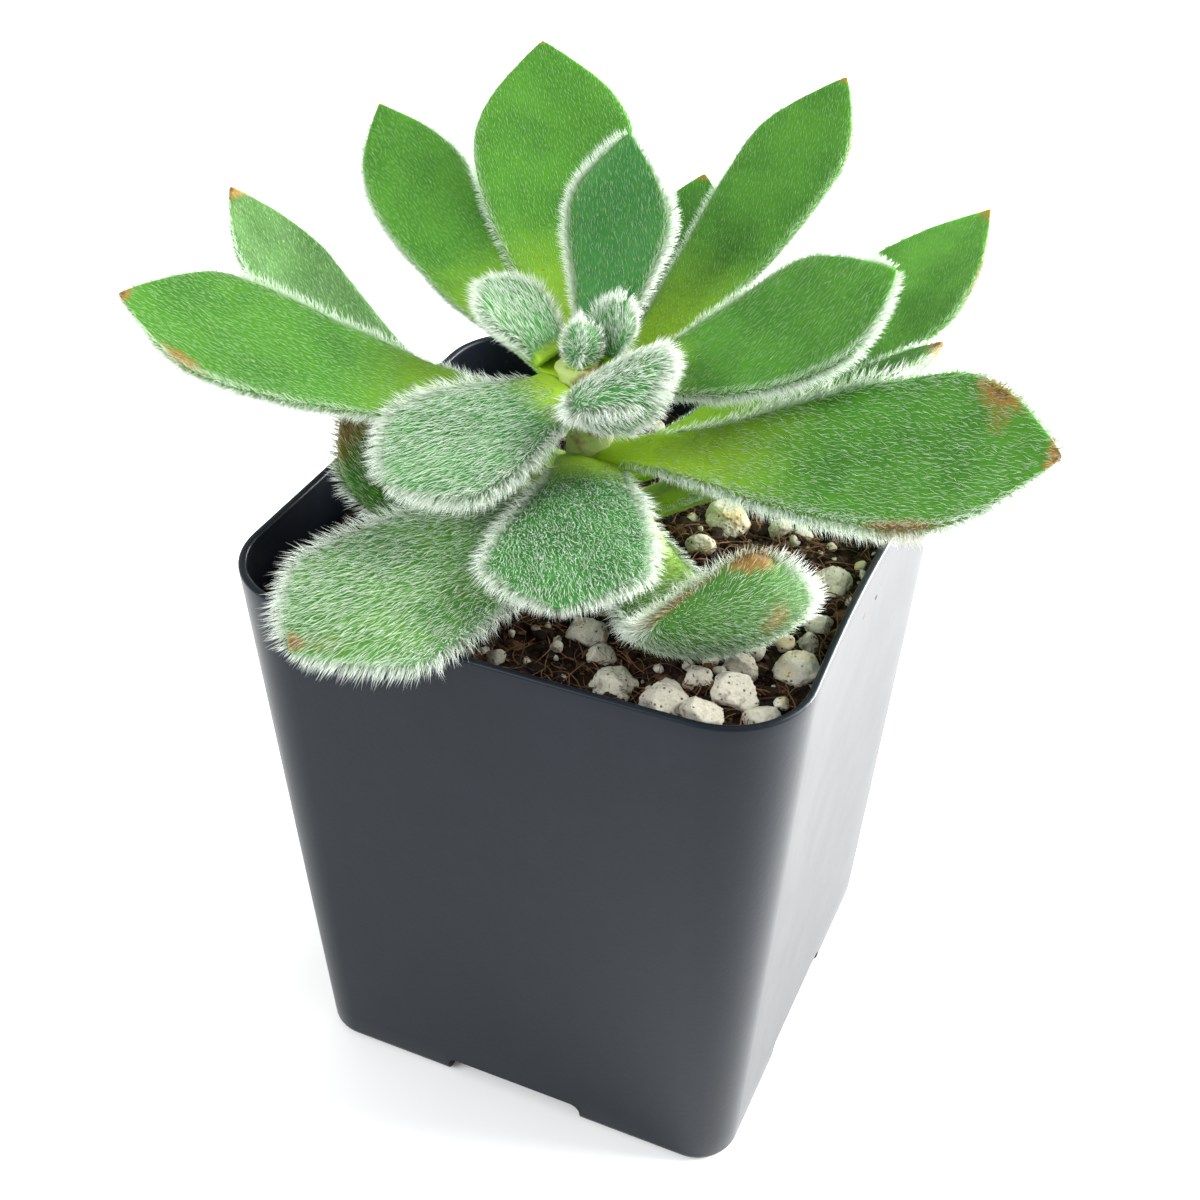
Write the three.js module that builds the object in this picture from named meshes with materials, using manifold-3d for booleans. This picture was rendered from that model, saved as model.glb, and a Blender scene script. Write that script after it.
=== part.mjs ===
import * as THREE from "three";
import { mergeVertices } from "three/addons/utils/BufferGeometryUtils.js";
import Module from "manifold-3d";

const wasm = await Module();
wasm.setup();

// A furry rosette succulent growing in a small square nursery pot. Sizes are in millimetres and +Z is up.
// The origin is the centre of the pot's base, which stands on z = 0, and the pot's front wall faces -Y.
// The pot, the soil, the stem, each leaf and each large lump of perlite is a piece of its own.

// Clearances between pieces
const clearance = 0.3; // between any two pieces that touch
const cutMargin = 1; // how far a cutting solid runs past the face it cuts

// Pot
const potTopWidth = 57;
const potBaseWidth = 48.6;
const potHeight = 64;
const potWall = 0.8;
const potFloor = 1;
const topCornerRadius = 8.6;
const baseCornerRadius = 4.5;
const baseEdgeRadius = 1.2;
const rightWallBow = 1.2; // how far the middle of the right wall leans in at the rim
const frontWallBow = 0.5; // how far the middle of the front wall leans out at the rim
const notchWidth = 16; // the raised notch in the foot of each wall, which leaves four feet
const notchHeight = 2.5;
const notchDepth = 9;
const notchCornerRadius = 1.2;
const drainLength = 9; // the drain slot in the roof of each notch
const drainWidth = 3.5;

// Soil
const soilDepthBelowRim = 6;
const soilCornerRise = 1.5; // the soil stands a little higher at the front right corner
const soilLumpHeight = 0.5;

// Stem
const stemRadius = 3;
const stemTopRadius = 2;
const stemHeight = 21; // from the soil to the growing point
const stemBuriedLength = 20;
const stemLeanX = -0.136; // sideways travel for each millimetre of height
const stemLeanY = -0.09;

// Leaves
const leafThickness = 3;
const leafCup = 0.09; // how far the margins stand above the midrib, as a share of the width
const leafTipSharpness = 0.95; // below 1 a leaf's tip is blunter, above 1 it is drawn out
const leafUpperBulge = 0.35; // share of the thickness that lies above the midrib
const leafTwistLength = 0.35; // share of the length over which a leaf takes its roll
const leafSides = 12;
const spineSteps = 48;
const ringSteps = [0, 3, 8, 14, 20, 26, 31, 35, 39, 42, 45, 47]; // the spine steps that carry a ring

const overRimHeight = soilDepthBelowRim + leafThickness * (1 - leafUpperBulge); // clears the pot's rim
const soilTop = potHeight - soilDepthBelowRim;
const stemTop = soilTop + stemHeight;
const degrees = Math.PI / 180;

// Colours, roughness and metalness of each material
const finishes = {
  pot: new THREE.MeshStandardMaterial({ color: 0x24272b, roughness: 0.45, metalness: 0 }),
  soil: new THREE.MeshStandardMaterial({ color: 0x2e1d12, roughness: 0.95, metalness: 0 }),
  perlite: new THREE.MeshStandardMaterial({ color: 0xd9d4c6, roughness: 0.9, metalness: 0 }),
  stem: new THREE.MeshStandardMaterial({ color: 0x9db560, roughness: 0.8, metalness: 0 }),
  leaf: new THREE.MeshStandardMaterial({ color: 0x4f8f3c, roughness: 0.75, metalness: 0 }),
  youngLeaf: new THREE.MeshStandardMaterial({ color: 0x9cc7a2, roughness: 0.85, metalness: 0 }),
};

const part = new THREE.Group();

function addMesh(name, geometry, material) {
  const mesh = new THREE.Mesh(geometry, material);
  mesh.name = name;
  part.add(mesh);
  return mesh;
}

function mix(from, to, share) {
  return from + (to - from) * share;
}

function smoothStep(share) {
  const held = Math.min(Math.max(share, 0), 1);
  return held * held * (3 - 2 * held);
}

// A closed skin over rings of equal count, closed at each end by a fan round one point.
// Each ring runs anticlockwise as seen from the end that the rings travel towards.
function loft(rings, startPoint, endPoint) {
  const count = rings[0].length;
  const points = [startPoint, ...rings.flat(), endPoint];
  const last = points.length - 1;
  const faces = [];
  for (let j = 0; j < count; j++) {
    const next = (j + 1) % count;
    faces.push(0, 1 + next, 1 + j);
    for (let i = 0; i < rings.length - 1; i++) {
      const low = 1 + i * count;
      const high = low + count;
      faces.push(low + j, low + next, high + next);
      faces.push(low + j, high + next, high + j);
    }
    const top = last - count;
    faces.push(top + j, top + next, last);
  }
  const geometry = new THREE.BufferGeometry().setFromPoints(points);
  geometry.setIndex(faces);
  geometry.computeVertexNormals();
  return geometry;
}

// Boolean cuts: a geometry becomes a manifold solid, and the result becomes a geometry again.
function toSolid(geometry) {
  const bare = geometry.clone();
  bare.deleteAttribute("normal");
  bare.deleteAttribute("uv");
  const merged = mergeVertices(bare);
  return new wasm.Manifold(
    new wasm.Mesh({
      numProp: 3,
      vertProperties: merged.attributes.position.array,
      triVerts: new Uint32Array(merged.index.array),
    }),
  );
}

function toGeometry(solid) {
  const mesh = solid.getMesh();
  const geometry = new THREE.BufferGeometry();
  geometry.setAttribute("position", new THREE.BufferAttribute(mesh.vertProperties, 3));
  geometry.setIndex(new THREE.BufferAttribute(mesh.triVerts, 1));
  geometry.computeVertexNormals();
  return geometry;
}

// The pot

// The pot's outline at a height, moved in from its outer face by an inset.
function potRing(height, inset) {
  const rise = height / potHeight;
  const half = mix(potBaseWidth, potTopWidth, rise) / 2 - inset;
  const radius = mix(baseCornerRadius, topCornerRadius, rise) - inset;
  const flat = half - radius;
  const cornerSteps = 5;
  const wallSteps = 4;
  const ring = [];
  for (let side = 0; side < 4; side++) {
    const turn = side * 90 * degrees;
    const outline = [];
    for (let i = 0; i <= cornerSteps; i++) {
      const angle = (90 * degrees * i) / cornerSteps;
      outline.push([flat + radius * Math.cos(angle), flat + radius * Math.sin(angle)]);
    }
    for (let i = 1; i < wallSteps; i++) {
      outline.push([mix(flat, -flat, i / wallSteps), half]);
    }
    for (const [u, v] of outline) {
      const x = u * Math.cos(turn) - v * Math.sin(turn);
      const y = u * Math.sin(turn) + v * Math.cos(turn);
      const rightShare = Math.max(0, x / half) * wallBow(y / half);
      const frontShare = Math.max(0, -y / half) * wallBow(x / half);
      const moved = [x - rightWallBow * rise * rightShare, y - frontWallBow * rise * frontShare];
      ring.push(new THREE.Vector3(moved[0], moved[1], height));
    }
  }
  return ring;
}

function wallBow(share) {
  return Math.max(0, 1 - share * share) ** 1.5;
}

// A solid through the pot's outline at several levels, each a height and an inset.
function potLoft(levels) {
  const rings = levels.map(([height, inset]) => potRing(height, inset));
  const low = levels[0][0];
  const high = levels[levels.length - 1][0];
  return loft(rings, new THREE.Vector3(0, 0, low), new THREE.Vector3(0, 0, high));
}

// Four blocks, one at the foot of each wall, grown outwards by an offset.
function notchBlocks(offset) {
  const half = notchWidth / 2 + offset;
  const top = notchHeight + offset;
  const radius = notchCornerRadius + offset;
  const outline = new THREE.Shape();
  outline.moveTo(-half, -cutMargin);
  outline.lineTo(half, -cutMargin);
  outline.lineTo(half, top - radius);
  outline.absarc(half - radius, top - radius, radius, 0, Math.PI / 2, false);
  outline.absarc(-half + radius, top - radius, radius, Math.PI / 2, Math.PI, false);
  outline.lineTo(-half, -cutMargin);
  const depth = notchDepth + offset + cutMargin;
  const wallFace = potBaseWidth / 2;
  const blocks = [];
  for (let side = 0; side < 4; side++) {
    const block = new THREE.ExtrudeGeometry(outline, { depth, bevelEnabled: false, curveSegments: 4 });
    block.rotateX(90 * degrees);
    block.translate(0, -wallFace + notchDepth + offset, 0);
    block.rotateZ(side * 90 * degrees);
    blocks.push(toSolid(block));
  }
  return wasm.Manifold.union(blocks);
}

function drainSlots() {
  const radius = drainWidth / 2;
  const reach = drainLength / 2 - radius;
  const outline = new THREE.Shape();
  outline.absarc(reach, 0, radius, -Math.PI / 2, Math.PI / 2, false);
  outline.absarc(-reach, 0, radius, Math.PI / 2, Math.PI * 1.5, false);
  const depth = potFloor + 2 * cutMargin;
  const slots = [];
  for (let side = 0; side < 4; side++) {
    const slot = new THREE.ExtrudeGeometry(outline, { depth, bevelEnabled: false, curveSegments: 6 });
    slot.translate(0, -potBaseWidth / 2 + notchDepth / 2 + potWall, notchHeight - cutMargin);
    slot.rotateZ(side * 90 * degrees);
    slots.push(toSolid(slot));
  }
  return wasm.Manifold.union(slots);
}

function makePot() {
  const outerLevels = [];
  const edgeSteps = 3;
  for (let i = 0; i <= edgeSteps; i++) {
    const angle = (90 * degrees * i) / edgeSteps;
    outerLevels.push([baseEdgeRadius * (1 - Math.cos(angle)), baseEdgeRadius * (1 - Math.sin(angle))]);
  }
  for (const share of [0.35, 0.7, 1]) {
    outerLevels.push([potHeight * share, 0]);
  }
  const outer = toSolid(potLoft(outerLevels));
  const hollow = toSolid(
    potLoft([
      [potFloor, potWall + baseEdgeRadius / 2],
      [potFloor + baseEdgeRadius, potWall],
      [potHeight / 2, potWall],
      [potHeight + cutMargin, potWall],
    ]),
  );
  const cavity = hollow.subtract(notchBlocks(potFloor));
  const shell = outer.subtract(cavity).subtract(notchBlocks(0)).subtract(drainSlots());
  addMesh("pot", toGeometry(shell), finishes.pot);
}

// The stem

function stemAxis(height) {
  const above = height - soilTop;
  return new THREE.Vector3(stemLeanX * above, stemLeanY * above, height);
}

function stemRadiusAt(height) {
  return mix(stemRadius, stemTopRadius, smoothStep((height - soilTop) / stemHeight));
}

function stemLoft(grow) {
  const sides = 12;
  const bottom = soilTop - stemBuriedLength - grow;
  const top = stemTop + grow;
  const rings = [];
  const steps = 8;
  for (let i = 0; i <= steps; i++) {
    const height = mix(bottom, top, i / steps);
    const centre = stemAxis(height);
    const radius = stemRadiusAt(height) + grow;
    const ring = [];
    for (let j = 0; j < sides; j++) {
      const angle = (360 * degrees * j) / sides;
      ring.push(new THREE.Vector3(radius * Math.cos(angle), radius * Math.sin(angle), 0).add(centre));
    }
    rings.push(ring);
  }
  return loft(rings, stemAxis(bottom), stemAxis(top));
}

// The leaves

// azimuth: the way the leaf points, anticlockwise from +X. height: where it leaves the stem, above the soil.
// rise: its slope at the base and at the tip. sway: its sideways turn from base to tip. roll: its twist.
// neck: the base's share of the width. belly: how far along it is widest. tip: its own tip sharpness.
// All angles are in degrees.
const leaves = [
  { name: "leaf_left_long", azimuth: 203, height: 15.6, rise: [4, 30], sway: 2, roll: -11,
    length: 42, width: 15, neck: 0.3, belly: 0.77 },
  { name: "leaf_left_rear", azimuth: 176, height: 8, rise: [-2, 49], sway: -15, roll: 13,
    length: 49, width: 12.7, neck: 0.4, belly: 0.77 },
  { name: "leaf_rear_left", azimuth: 149, height: 19, rise: [5, 32], sway: -9, roll: -16,
    length: 42.5, width: 11, neck: 0.36, belly: 0.7 },
  { name: "leaf_rear_tall", azimuth: 120, height: 17, rise: [22, 38], sway: 2, roll: -7,
    length: 42.5, width: 16.5, neck: 0.28, belly: 0.68 },
  { name: "leaf_upright", azimuth: 93, height: 19.5, rise: [52, 76], sway: 3, roll: 8,
    length: 21.5, width: 9.3, neck: 0.34, belly: 0.63 },
  { name: "leaf_rear_hidden", azimuth: 91, height: 11, rise: [20, 50], sway: 0, roll: 0,
    length: 31.5, width: 12, neck: 0.36, belly: 0.68 },
  { name: "leaf_rear_right", azimuth: 71, height: 16, rise: [22, 42], sway: 2, roll: 0,
    length: 42.5, width: 11.5, neck: 0.38, belly: 0.74 },
  { name: "leaf_right_rear", azimuth: 45, height: 9, rise: [7, 44], sway: 12, roll: 0,
    length: 46, width: 14, neck: 0.38, belly: 0.71 },
  { name: "leaf_right_upper", azimuth: 22, height: 19, rise: [8, 43], sway: 1, roll: 22,
    length: 29, width: 13.4, neck: 0.38, belly: 0.71 },
  { name: "leaf_right_long", azimuth: 0, height: 12.2, rise: [10, 20], sway: -4, roll: 23,
    length: 42.4, width: 17.5, neck: 0.26, belly: 0.75 },
  { name: "leaf_right_hidden", azimuth: 25, height: 5, rise: [22, 45], sway: 0, roll: -15,
    length: 33.5, width: 12, neck: 0.38, belly: 0.66 },
  { name: "leaf_front", azimuth: 289, height: 11.6, rise: [4, -4], sway: -3, roll: 4,
    length: 22.8, width: 14, neck: 0.48, belly: 0.76, cup: 0.02, young: true },
  { name: "leaf_front_left", azimuth: 239, height: 18.7, rise: [-8, -10], sway: 2, roll: -11,
    length: 19, width: 13.3, neck: 0.55, belly: 0.67, cup: 0.03, young: true },
  { name: "leaf_over_rim", azimuth: 251, height: overRimHeight, rise: [5, -6], sway: -3, roll: -7,
    length: 34.5, width: 16.8, neck: 0.6, belly: 0.74, cup: -0.02, young: true },
  { name: "leaf_curled_left", azimuth: 202, height: 3.4, rise: [-12, 76], sway: -19, roll: -35,
    length: 27.5, width: 12.5, neck: 0.4, belly: 0.7 },
  { name: "leaf_curled_right", azimuth: 318.8, height: 5.7, rise: [-27.3, 81.3], sway: -6, roll: -6,
    length: 35.5, width: 13.6, neck: 0.5, belly: 0.7, thickness: 4.2, cup: 0.01, tip: 0.7 },
  { name: "centre_bud", azimuth: 30, height: 21.3, rise: [88, 84], sway: 0, roll: 0, central: true,
    length: 4, width: 3.4, neck: 0.7, belly: 0.45, thickness: 3.2, cup: 0, young: true },
  { name: "crown_leaf_left", azimuth: 165, height: 21, rise: [40, 25], sway: 0, roll: 0,
    length: 9.5, width: 7, neck: 0.6, belly: 0.6, young: true },
  { name: "crown_leaf_rear", azimuth: 60, height: 21, rise: [72, 60], sway: 0, roll: 0,
    length: 5.5, width: 5, neck: 0.6, belly: 0.5, thickness: 2.2, young: true },
  { name: "crown_leaf_right", azimuth: 325, height: 20, rise: [40, -2], sway: 0, roll: 17,
    length: 7.7, width: 9.7, neck: 0.6, belly: 0.55, thickness: 5.3, tip: 0.8, young: true },
];

// The blade's width along its length, as a share of the leaf's width.
function bladeWidth(leaf, share) {
  if (share < leaf.belly) {
    return mix(leaf.neck, 1, smoothStep(share / leaf.belly));
  }
  const { tip = leafTipSharpness } = leaf;
  const past = (share - leaf.belly) / (1 - leaf.belly);
  return Math.cos((past * Math.PI) / 2) ** tip;
}

// The blade's thickness along its length: it swells out of the base and rounds off to the tip.
function bladeThickness(share) {
  const baseShare = 0.85;
  const swollenBy = 0.4;
  const thinsFrom = 0.55;
  const past = Math.max(0, (share - thinsFrom) / (1 - thinsFrom));
  return mix(baseShare, 1, smoothStep(share / swollenBy)) * Math.sqrt(1 - past * past);
}

// A leaf's skin: rings across a midrib that bends in its own plane and sways sideways.
function leafLoft(leaf, grow) {
  const { cup = leafCup, thickness = leafThickness } = leaf;
  const slopeAtBase = leaf.rise[0] * degrees;
  const foot = soilTop + leaf.height;
  const outward = new THREE.Vector3(Math.cos(leaf.azimuth * degrees), Math.sin(leaf.azimuth * degrees), 0);
  const besideStem = stemRadiusAt(foot) + clearance + (thickness / 2) * Math.abs(Math.sin(slopeAtBase));
  const footReach = leaf.central ? 0 : besideStem;
  const point = stemAxis(foot).addScaledVector(outward, footReach - grow);
  const length = leaf.length + 2 * grow;
  const start = point.clone();
  const rings = [];
  for (let step = 0; step < spineSteps; step++) {
    const frame = leafFrame(leaf, step / spineSteps);
    if (ringSteps.includes(step)) {
      rings.push(leafRing(leaf, step / spineSteps, point, frame, thickness, cup, grow));
    }
    const half = leafFrame(leaf, (step + 0.5) / spineSteps);
    point.addScaledVector(half.along, length / spineSteps);
  }
  return loft(rings, start, point);
}

// The directions along, across and out of a leaf's upper face at a share of its length.
function leafFrame(leaf, share) {
  const slope = mix(leaf.rise[0], leaf.rise[1], share) * degrees;
  const heading = (leaf.azimuth + leaf.sway * share) * degrees;
  const twist = leaf.roll * degrees * Math.min(share / leafTwistLength, 1);
  const along = new THREE.Vector3(
    Math.cos(heading) * Math.cos(slope),
    Math.sin(heading) * Math.cos(slope),
    Math.sin(slope),
  );
  const level = new THREE.Vector3(-Math.sin(heading), Math.cos(heading), 0);
  const across = level.applyAxisAngle(along, twist);
  const upper = along.clone().cross(across);
  return { along, across, upper };
}

// One cross-section: flat above, fuller below, with the margins lifted by the cup.
function leafRing(leaf, share, centre, frame, thickness, cup, grow) {
  const half = (leaf.width * bladeWidth(leaf, share)) / 2 + grow;
  const depth = thickness * bladeThickness(share);
  const ring = [];
  for (let j = 0; j < leafSides; j++) {
    const angle = (360 * degrees * j) / leafSides;
    const sideways = half * Math.cos(angle);
    const bulge = Math.sin(angle) > 0 ? leafUpperBulge : 1 - leafUpperBulge;
    const lift = (depth * bulge + grow) * Math.sin(angle) + 2 * cup * half * Math.cos(angle) ** 2;
    ring.push(centre.clone().addScaledVector(frame.across, sideways).addScaledVector(frame.upper, lift));
  }
  return ring;
}

function makeLeaves() {
  const solids = leaves.map((leaf) => toSolid(leafLoft(leaf, 0)));
  const grown = leaves.map((leaf) => toSolid(leafLoft(leaf, clearance)));
  leaves.forEach((leaf, i) => {
    let solid = solids[i];
    let cut = false;
    // A lower, older leaf is pressed in where a younger one lies against it.
    leaves.forEach((other, j) => {
      const younger = other.height > leaf.height || (other.height === leaf.height && j > i);
      if (younger && solid.intersect(grown[j]).volume() > 0) {
        solid = solid.subtract(grown[j]);
        cut = true;
      }
    });
    const geometry = cut ? toGeometry(solid) : leafLoft(leaf, 0);
    addMesh(leaf.name, geometry, leaf.young ? finishes.youngLeaf : finishes.leaf);
  });
}

// The soil and the perlite

// Each lump lies on the soil at x and y, with its mean width. The places spread out or draw in with the room
// between the pot's walls.
const perliteLumps = [
  { x: 4, y: -15, width: 3.6 },
  { x: 6.8, y: -18, width: 2.6 },
  { x: 9.8, y: -21.3, width: 4.2 },
  { x: 14.8, y: -22, width: 4.2 },
  { x: 18.8, y: -23, width: 3.4 },
  { x: 20.4, y: -18.8, width: 4 },
  { x: 23.6, y: -20.6, width: 3 },
  { x: 16.2, y: -17.6, width: 2.6 },
  { x: 24.2, y: -13.4, width: 3.8 },
  { x: 19.4, y: -14.4, width: 2.8 },
  { x: 23.4, y: -8.4, width: 2.4 },
  { x: 23.4, y: -4.4, width: 2.6 },
  { x: 22.8, y: 1.4, width: 3.4 },
  { x: 8.4, y: 3.6, width: 2.6 },
  { x: 9.4, y: 9, width: 4 },
  { x: 15, y: 9.6, width: 2.6 },
  { x: -23.4, y: 3, width: 3 },
  { x: -24, y: -17.6, width: 2.8 },
  { x: -8, y: 17, width: 3.6 },
  { x: 5, y: 21, width: 3 },
  { x: 18, y: 20, width: 3.8 },
  { x: -19, y: 19, width: 3 },
];
const perliteLayoutRoom = 55.4; // the room between the pot's walls that those places are for
const perliteSunk = 0.35; // share of a lump's width that lies in the soil
const perliteRoughness = 0.2; // how far a lump departs from a ball
const perliteFlatness = 0.85; // height against width

function soilHeight(x, y) {
  const towardsCorner = (x - y) / potTopWidth;
  const broadWave = Math.sin(x * 0.55 + 1.3) * Math.cos(y * 0.47);
  const shortWave = Math.sin(x * 0.9 - y * 0.7);
  const lumps = 0.6 * broadWave + 0.36 * shortWave;
  return soilTop + soilCornerRise * smoothStep(towardsCorner) + soilLumpHeight * lumps;
}

// A lump's skin: a ball with its points moved by smooth waves, so that it looks broken and rounded.
function perliteGeometry(lump, index, grow) {
  const radius = lump.width / 2;
  const geometry = new THREE.IcosahedronGeometry(1, 1);
  const position = geometry.getAttribute("position");
  const point = new THREE.Vector3();
  for (let i = 0; i < position.count; i++) {
    point.fromBufferAttribute(position, i);
    const broadWave = Math.sin(point.x * 3.1 + index * 1.7) * Math.cos(point.y * 2.7 - index);
    const shortWave = Math.sin(point.z * 4.3 + point.x * 2 + index * 0.6);
    const swell = 1 + perliteRoughness * (0.6 * broadWave + 0.4 * shortWave);
    point.multiplyScalar(radius * swell + grow);
    point.z *= perliteFlatness;
    position.setXYZ(i, point.x, point.y, point.z);
  }
  geometry.rotateZ(index * 1.1);
  const spread = (potTopWidth - 2 * potWall) / perliteLayoutRoom;
  const x = lump.x * spread;
  const y = lump.y * spread;
  geometry.translate(x, y, soilHeight(x, y) + lump.width * (0.5 - perliteSunk));
  geometry.computeVertexNormals();
  return geometry;
}

function makeSoil() {
  const inset = potWall + clearance;
  const bottom = potFloor + clearance;
  const rings = [
    potRing(bottom, inset + baseEdgeRadius / 2),
    potRing(bottom + baseEdgeRadius, inset),
    potRing(soilTop / 2, inset),
  ];
  const edge = potRing(soilTop, inset);
  for (const share of [1, 0.8, 0.6, 0.4, 0.2]) {
    const ring = edge.map(({ x, y }) => {
      return new THREE.Vector3(x * share, y * share, soilHeight(x * share, y * share));
    });
    rings.push(ring);
  }
  const middleOfBase = new THREE.Vector3(0, 0, bottom);
  const middleOfTop = new THREE.Vector3(0, 0, soilHeight(0, 0));
  const solid = toSolid(loft(rings, middleOfBase, middleOfTop));
  const notches = notchBlocks(potFloor + clearance);
  const stemSocket = toSolid(stemLoft(clearance));
  const seats = perliteLumps.map((lump, i) => toSolid(perliteGeometry(lump, i, clearance)));
  const cuts = wasm.Manifold.union([notches, stemSocket, ...seats]);
  addMesh("soil", toGeometry(solid.subtract(cuts)), finishes.soil);
}

function makePerlite() {
  perliteLumps.forEach((lump, i) => {
    const name = `perlite_${String(i + 1).padStart(2, "0")}`;
    addMesh(name, perliteGeometry(lump, i, 0), finishes.perlite);
  });
}

makePot();
makeSoil();
makePerlite();
addMesh("stem", stemLoft(0), finishes.stem);
makeLeaves();

export default part;
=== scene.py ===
import math

import bmesh
import bpy
import numpy as np
from mathutils import Matrix, Vector, noise


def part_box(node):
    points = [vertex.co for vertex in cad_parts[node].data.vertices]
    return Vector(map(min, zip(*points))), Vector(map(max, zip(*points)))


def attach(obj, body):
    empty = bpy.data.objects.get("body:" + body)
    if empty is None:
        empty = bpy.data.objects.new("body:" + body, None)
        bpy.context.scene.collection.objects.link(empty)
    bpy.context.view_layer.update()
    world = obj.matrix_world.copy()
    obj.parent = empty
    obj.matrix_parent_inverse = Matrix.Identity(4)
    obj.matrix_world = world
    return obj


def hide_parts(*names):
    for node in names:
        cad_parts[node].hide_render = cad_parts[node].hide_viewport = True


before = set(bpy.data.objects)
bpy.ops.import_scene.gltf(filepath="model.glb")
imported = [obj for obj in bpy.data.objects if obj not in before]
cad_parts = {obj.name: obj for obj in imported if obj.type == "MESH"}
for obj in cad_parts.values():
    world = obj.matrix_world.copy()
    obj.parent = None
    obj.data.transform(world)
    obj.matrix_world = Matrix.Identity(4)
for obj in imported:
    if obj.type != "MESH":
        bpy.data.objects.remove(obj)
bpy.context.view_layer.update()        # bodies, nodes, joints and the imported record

mm = 0.001               # every size below is in millimetres unless it says otherwise
body = "root"            # nothing on this plant moves, so every piece rides on the one body
bakeMap = "OFBake"       # the UV map that the leaves and the fur are laid out on
print("stage: frame loaded,", len(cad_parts), "nodes")


def mix(low, high, share):
    return low + (high - low) * share


def smoothStep(share):
    held = np.clip(share, 0, 1)
    return held * held * (3 - 2 * held)


def unit(vectors):
    lengths = np.linalg.norm(vectors, axis=-1, keepdims=True)
    return vectors / np.maximum(lengths, 1e-12)


def waves(points, size, seed, count=7):        # smooth random swell from -1 to 1, in bumps of this size
    rng = np.random.default_rng(seed)
    turns = unit(rng.normal(size=(count, 3))) * (2 * math.pi / size) * rng.uniform(0.6, 1.5, (count, 1))
    phases = rng.uniform(0, 2 * math.pi, count)
    return np.sin(points @ turns.T + phases).sum(axis=1) / math.sqrt(count) / 1.4


class Value:             # a shader socket that can be used in plain sums
    def __init__(self, paint, socket):
        self.paint = paint
        self.socket = socket

    def math(self, operation, first, second=0.0):
        return self.paint.node("ShaderNodeMath", {"operation": operation}, {0: first, 1: second})

    def __add__(self, other):
        return self.math("ADD", self, other)

    def __radd__(self, other):
        return self.math("ADD", other, self)

    def __sub__(self, other):
        return self.math("SUBTRACT", self, other)

    def __rsub__(self, other):
        return self.math("SUBTRACT", other, self)

    def __mul__(self, other):
        return self.math("MULTIPLY", self, other)

    def __rmul__(self, other):
        return self.math("MULTIPLY", other, self)

    def between(self, low, high):                # 0 at low, 1 at high, eased in between
        return self.paint.node("ShaderNodeMapRange", {"interpolation_type": "SMOOTHSTEP"},
                               {"Value": self, "From Min": low, "From Max": high})

    def held(self):
        return self.paint.node("ShaderNodeClamp", {}, {"Value": self})


class Paint:             # one material, built a node at a time
    def __init__(self, name):
        self.material = bpy.data.materials.new(name)
        self.material.use_nodes = True
        self.tree = self.material.node_tree
        self.tree.nodes.clear()

    def node(self, kind, settings=None, sockets=None, out=0):
        made = self.tree.nodes.new(kind)
        for name, setting in (settings or {}).items():
            if name == "stops":
                ramp = made.color_ramp
                while len(ramp.elements) < len(setting):
                    ramp.elements.new(0.5)
                for element, (place, colour) in zip(ramp.elements, setting):
                    element.position = place
                    element.color = (*colour, 1)
            else:
                setattr(made, name, setting)
        for name, value in (sockets or {}).items():
            socket = made.inputs[name]
            if isinstance(value, Value):
                self.tree.links.new(value.socket, socket)
            elif hasattr(value, "__len__") and len(socket.default_value) > len(value):
                socket.default_value = (*value, 1)
            else:
                socket.default_value = value
        return Value(self, made.outputs[out]) if len(made.outputs) else None

    def attribute(self, name):                   # a number painted on the mesh's points
        return self.node("ShaderNodeAttribute", {"attribute_name": name}, out=2)

    def place(self):
        return self.node("ShaderNodeTexCoord", out="Object")

    def noise(self, size, detail=3.0, roughness=0.55, stretch=None):    # size in millimetres
        place = self.place()
        if stretch:
            place = self.node("ShaderNodeMapping", {}, {"Vector": place, "Scale": stretch})
        sockets = {"Vector": place, "Scale": 1 / (size * mm), "Detail": detail, "Roughness": roughness}
        return self.node("ShaderNodeTexNoise", {}, sockets)

    def blend(self, low, high, share):           # two colours, mixed by a share
        return self.node("ShaderNodeMix", {"data_type": "RGBA"}, {0: share, 6: low, 7: high}, out=2)

    def bump(self, height, depth, strength=1.0):  # depth in millimetres
        sockets = {"Height": height, "Distance": depth * mm, "Strength": strength}
        return self.node("ShaderNodeBump", {}, sockets)

    def finish(self, **sockets):                 # the surface shader, from words such as baseColor
        named = {}
        for word, value in sockets.items():
            spaced = "".join(" " + c if c.isupper() else c for c in word)
            named[spaced.title().replace("Ior", "IOR")] = value
        surface = self.node("ShaderNodeBsdfPrincipled", {}, named)
        self.node("ShaderNodeOutputMaterial", {}, {"Surface": surface})
        return self.material


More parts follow.
